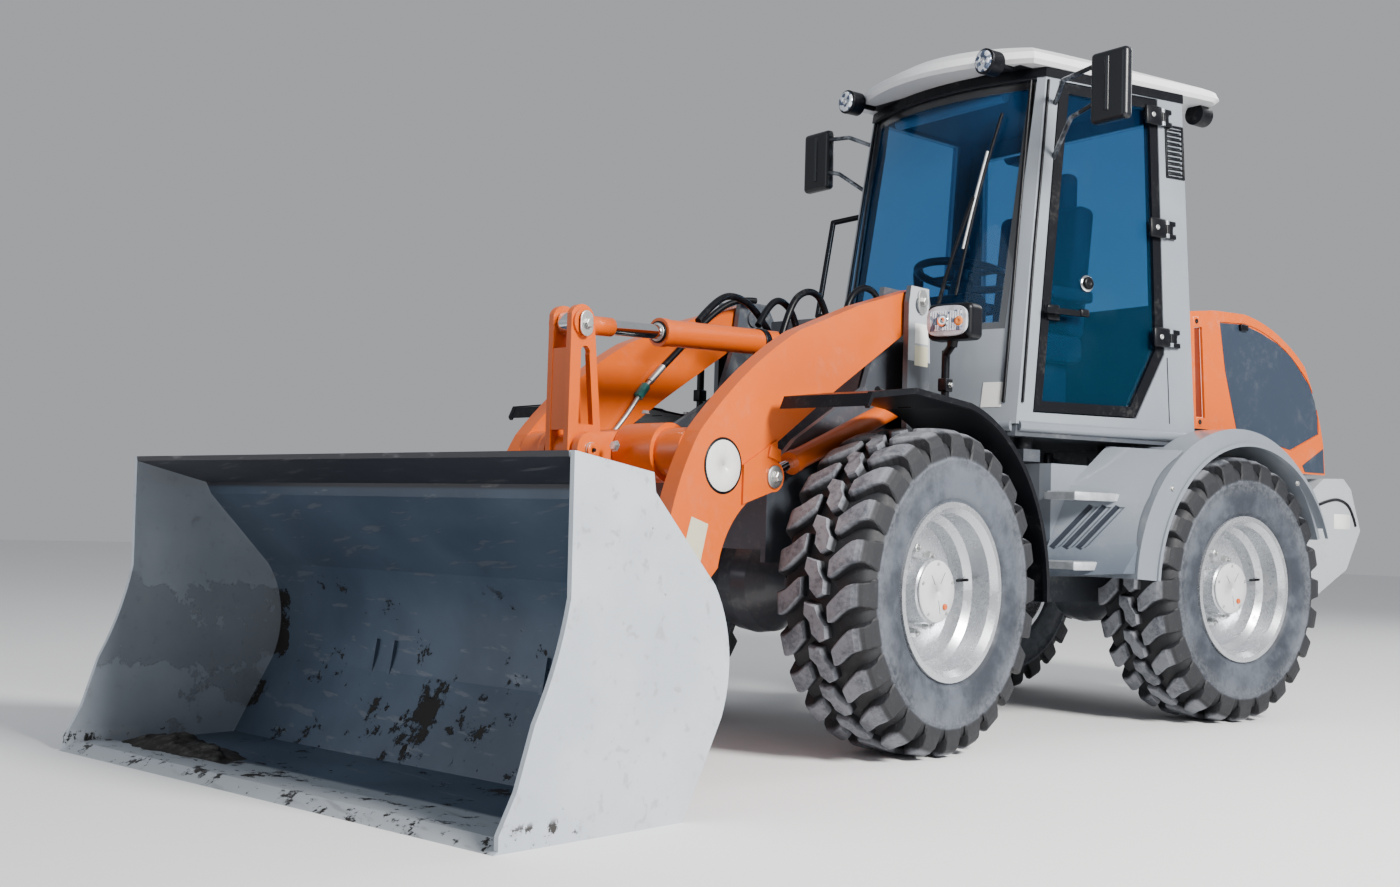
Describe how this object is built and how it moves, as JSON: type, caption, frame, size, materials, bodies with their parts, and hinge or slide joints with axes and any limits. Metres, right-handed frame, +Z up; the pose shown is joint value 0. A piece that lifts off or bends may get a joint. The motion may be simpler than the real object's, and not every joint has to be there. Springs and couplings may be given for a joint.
{
  "type": "wheel loader",
  "caption": "Articulated wheel loader with a Z-bar linkage, a wide open bucket, a glazed cab on the rear frame, large treaded tyres and a rounded engine hood.",
  "frame": {"origin": "on the ground under the articulation pins", "axes": "+Z up; the rear frame points along -Y, so the bucket is at -Y and the counterweight at +Y; +X is the machine's left side, with the door; the front frame is parked turned 11.9 degrees to the left"},
  "size_m": [2.439, 5.2373, 2.6],
  "materials": {
    "orange_paint": "satin orange enamel, dusty",
    "frame_paint": "satin grey enamel, dusty",
    "bucket_paint": "worn grey enamel with dried mud and bare edges",
    "chrome": "hard chrome",
    "tyre": "matt black rubber, dusty",
    "rim_paint": "silver-grey enamel",
    "black_moulding": "black moulded plastic",
    "tank_moulding": "grey moulded plastic",
    "galvanised": "galvanised",
    "cab_paint": "satin grey enamel",
    "roof_paint": "gloss white",
    "seat_cover": "dark woven cloth",
    "engine_paint": "dark cast iron",
    "window_glass": "light blue tint"
  },
  "bodies": {
    "rear_frame": {"cab_floor": "cab_paint", "cab_frame": "cab_paint", "cab_mounts": "black_moulding", "cab_roof": "roof_paint", "counterweight": "frame_paint", "driver_seat": "seat_cover", "engine": "engine_paint", "left_mirror": "black_moulding", "left_side_tank": "tank_moulding", "left_steps": "galvanised", "rear_axle": "frame_paint", "rear_frame": "frame_paint", "rear_left_fender": "black_moulding", "rear_right_fender": "black_moulding", "rear_window": "window_glass", "right_handrail": "black_moulding", "right_mirror": "black_moulding", "right_side_tank": "tank_moulding", "right_steps": "galvanised", "right_window": "window_glass", "roof_lamps": "black_moulding", "steering_column": "black_moulding", "steering_wheel": "black_moulding", "tail_lamps": "black_moulding", "windscreen": "window_glass"},
    "front_frame": {"front_frame": "frame_paint", "front_axle": "frame_paint", "front_left_fender": "black_moulding", "front_right_fender": "black_moulding", "left_headlight": "black_moulding", "right_headlight": "black_moulding"},
    "lift_arms": {"lift_arms": "orange_paint"},
    "bucket_pins": {"bucket_pins": "chrome"},
    "bucket": {"bucket": "bucket_paint", "cutting_edge": "bucket_paint"},
    "rocker_pin": {"rocker_pin": "chrome"},
    "rocker_lever": {"rocker_lever": "orange_paint"},
    "link_pin": {"link_pin": "chrome"},
    "tilt_link": {"tilt_link": "orange_paint"},
    "tilt_cylinder_barrel": {"tilt_cylinder_barrel": "orange_paint"},
    "tilt_cylinder_rod": {"tilt_cylinder_rod": "chrome"},
    "cab_door": {"cab_door": "cab_paint", "cab_door_glass": "window_glass"},
    "engine_hood": {"engine_hood": "orange_paint"},
    "front_left_wheel": {"front_left_tyre": "tyre", "front_left_rim": "rim_paint"},
    "front_right_wheel": {"front_right_tyre": "tyre", "front_right_rim": "rim_paint"},
    "rear_left_wheel": {"rear_left_tyre": "tyre", "rear_left_rim": "rim_paint"},
    "rear_right_wheel": {"rear_right_tyre": "tyre", "rear_right_rim": "rim_paint"},
    "left_lift_cylinder_barrel": {"left_lift_cylinder_barrel": "orange_paint"},
    "left_lift_cylinder_rod": {"left_lift_cylinder_rod": "chrome"},
    "left_steering_barrel": {"left_steering_barrel": "frame_paint"},
    "left_steering_rod": {"left_steering_rod": "chrome"},
    "right_lift_cylinder_barrel": {"right_lift_cylinder_barrel": "orange_paint"},
    "right_lift_cylinder_rod": {"right_lift_cylinder_rod": "chrome"},
    "right_steering_barrel": {"right_steering_barrel": "frame_paint"},
    "right_steering_rod": {"right_steering_rod": "chrome"}
  },
  "joints": [
    {"name": "articulation", "type": "hinge", "parent": "rear_frame", "child": "front_frame", "pos_m": [0, 0, 0.64], "axis": [0, 0, 1], "range_deg": [-51.9, 28.1]},
    {"name": "front_left_wheel_spin", "type": "hinge", "parent": "front_frame", "child": "front_left_wheel", "pos_m": [0.81767, -0.83943, 0.523], "axis": [0.9785, 0.2062, 0], "continuous": true},
    {"name": "front_right_wheel_spin", "type": "hinge", "parent": "front_frame", "child": "front_right_wheel", "pos_m": [-0.40938, -1.09801, 0.523], "axis": [0.9785, 0.2062, 0], "continuous": true},
    {"name": "rear_left_wheel_spin", "type": "hinge", "parent": "rear_frame", "child": "rear_left_wheel", "pos_m": [0.627, 0.99, 0.523], "axis": [1, 0, 0], "continuous": true},
    {"name": "rear_right_wheel_spin", "type": "hinge", "parent": "rear_frame", "child": "rear_right_wheel", "pos_m": [-0.627, 0.99, 0.523], "axis": [1, 0, 0], "continuous": true},
    {"name": "lift", "type": "hinge", "parent": "front_frame", "child": "lift_arms", "pos_m": [0.14558, -0.69083, 1.497], "axis": [-0.9785, -0.2062, 0], "range_deg": [0, 82]},
    {"name": "bucket_level", "type": "hinge", "parent": "lift_arms", "child": "bucket_pins", "pos_m": [0.44767, -2.12434, 0.248], "axis": [0.9785, 0.2062, 0], "range_deg": [-0.05, 78.85]},
    {"name": "bucket_tilt", "type": "hinge", "parent": "bucket_pins", "child": "bucket", "pos_m": [0.44767, -2.12434, 0.248], "axis": [0.9785, 0.2062, 0], "range_deg": [-45, 45]},
    {"name": "rocker_level", "type": "hinge", "parent": "lift_arms", "child": "rocker_pin", "pos_m": [0.39797, -1.88852, 0.93], "axis": [0.9785, 0.2062, 0], "range_deg": [-13.01, 0.05]},
    {"name": "rocker_tilt", "type": "hinge", "parent": "rocker_pin", "child": "rocker_lever", "pos_m": [0.39797, -1.88852, 0.93], "axis": [0.9785, 0.2062, 0], "range_deg": [-7.75, 7.75]},
    {"name": "link_level", "type": "hinge", "parent": "bucket", "child": "link_pin", "pos_m": [0.4588, -2.17718, 0.402], "axis": [0.9785, 0.2062, 0], "range_deg": [-57.94, 0.05]},
    {"name": "link_tilt", "type": "hinge", "parent": "link_pin", "child": "tilt_link", "pos_m": [0.4588, -2.17718, 0.402], "axis": [0.9785, 0.2062, 0], "range_deg": [-38.52, 38.52]},
    {"name": "tilt_barrel_swing", "type": "hinge", "parent": "front_frame", "child": "tilt_cylinder_barrel", "pos_m": [0.13774, -0.65364, 1.372], "axis": [-0.9785, -0.2062, 0], "range_deg": [-0.05, 75.32]},
    {"name": "tilt_rod_slide", "type": "slide", "parent": "tilt_cylinder_barrel", "child": "tilt_cylinder_rod", "axis": [0.206, -0.9777, -0.0407], "range_m": [-0.0525, 0.0525]},
    {"name": "left_lift_barrel_swing", "type": "hinge", "parent": "front_frame", "child": "left_lift_cylinder_barrel", "pos_m": [0.51741, -0.61247, 1.157], "axis": [-0.9785, -0.2062, 0], "range_deg": [-0.05, 74.95]},
    {"name": "left_lift_rod_slide", "type": "slide", "parent": "left_lift_cylinder_barrel", "child": "left_lift_cylinder_rod", "axis": [0.1924, -0.9132, -0.3593], "range_m": [-0.0005, 0.4295]},
    {"name": "left_steering_barrel_swing", "type": "hinge", "parent": "rear_frame", "child": "left_steering_barrel", "pos_m": [0.18, 0.42, 0.64], "axis": [0, 0, 1], "range_deg": [-20.34, 11.03]},
    {"name": "left_steering_rod_slide", "type": "slide", "parent": "left_steering_barrel", "child": "left_steering_rod", "axis": [0.1103, -0.9939, 0], "range_m": [-0.0926, 0.1705]},
    {"name": "right_lift_barrel_swing", "type": "hinge", "parent": "front_frame", "child": "right_lift_cylinder_barrel", "pos_m": [-0.22625, -0.76919, 1.157], "axis": [-0.9785, -0.2062, 0], "range_deg": [-0.05, 74.95]},
    {"name": "right_lift_rod_slide", "type": "slide", "parent": "right_lift_cylinder_barrel", "child": "right_lift_cylinder_rod", "axis": [0.1924, -0.9132, -0.3593], "range_m": [-0.0005, 0.4295]},
    {"name": "right_steering_barrel_swing", "type": "hinge", "parent": "rear_frame", "child": "right_steering_barrel", "pos_m": [-0.18, 0.42, 0.64], "axis": [0, 0, 1], "range_deg": [-20.34, 11.03]},
    {"name": "right_steering_rod_slide", "type": "slide", "parent": "right_steering_barrel", "child": "right_steering_rod", "axis": [0.055, -0.9985, 0], "range_m": [-0.1705, 0.0926]},
    {"name": "cab_door_swing", "type": "hinge", "parent": "rear_frame", "child": "cab_door", "pos_m": [0.63879, 0.697, 1.5], "axis": [-0.0609, 0, 0.9981], "range_deg": [0, 105]},
    {"name": "hood_lift", "type": "hinge", "parent": "rear_frame", "child": "engine_hood", "pos_m": [0, 0.845, 1.632], "axis": [1, 0, 0], "range_deg": [0, 60]}
  ],
  "couplings": [
    {"joint": "bucket_level", "follows": "lift", "ratio": 0.96098},
    {"joint": "rocker_level", "follows": "lift", "ratio": -0.158},
    {"joint": "rocker_tilt", "follows": "bucket_tilt", "ratio": -0.171},
    {"joint": "link_level", "follows": "lift", "ratio": -0.706},
    {"joint": "link_tilt", "follows": "bucket_tilt", "ratio": -0.855},
    {"joint": "tilt_barrel_swing", "follows": "lift", "ratio": 0.91793},
    {"joint": "tilt_rod_slide", "follows": "bucket_tilt", "m_per_rad": -0.066463},
    {"joint": "left_lift_barrel_swing", "follows": "lift", "ratio": 0.91341},
    {"joint": "left_lift_rod_slide", "follows": "lift", "m_per_rad": 0.29962},
    {"joint": "left_steering_barrel_swing", "follows": "articulation", "ratio": 0.39087},
    {"joint": "left_steering_rod_slide", "follows": "articulation", "m_per_rad": -0.18771},
    {"joint": "right_lift_barrel_swing", "follows": "lift", "ratio": 0.91341},
    {"joint": "right_lift_rod_slide", "follows": "lift", "m_per_rad": 0.29962},
    {"joint": "right_steering_barrel_swing", "follows": "articulation", "ratio": 0.39087},
    {"joint": "right_steering_rod_slide", "follows": "articulation", "m_per_rad": 0.18771}
  ]
}
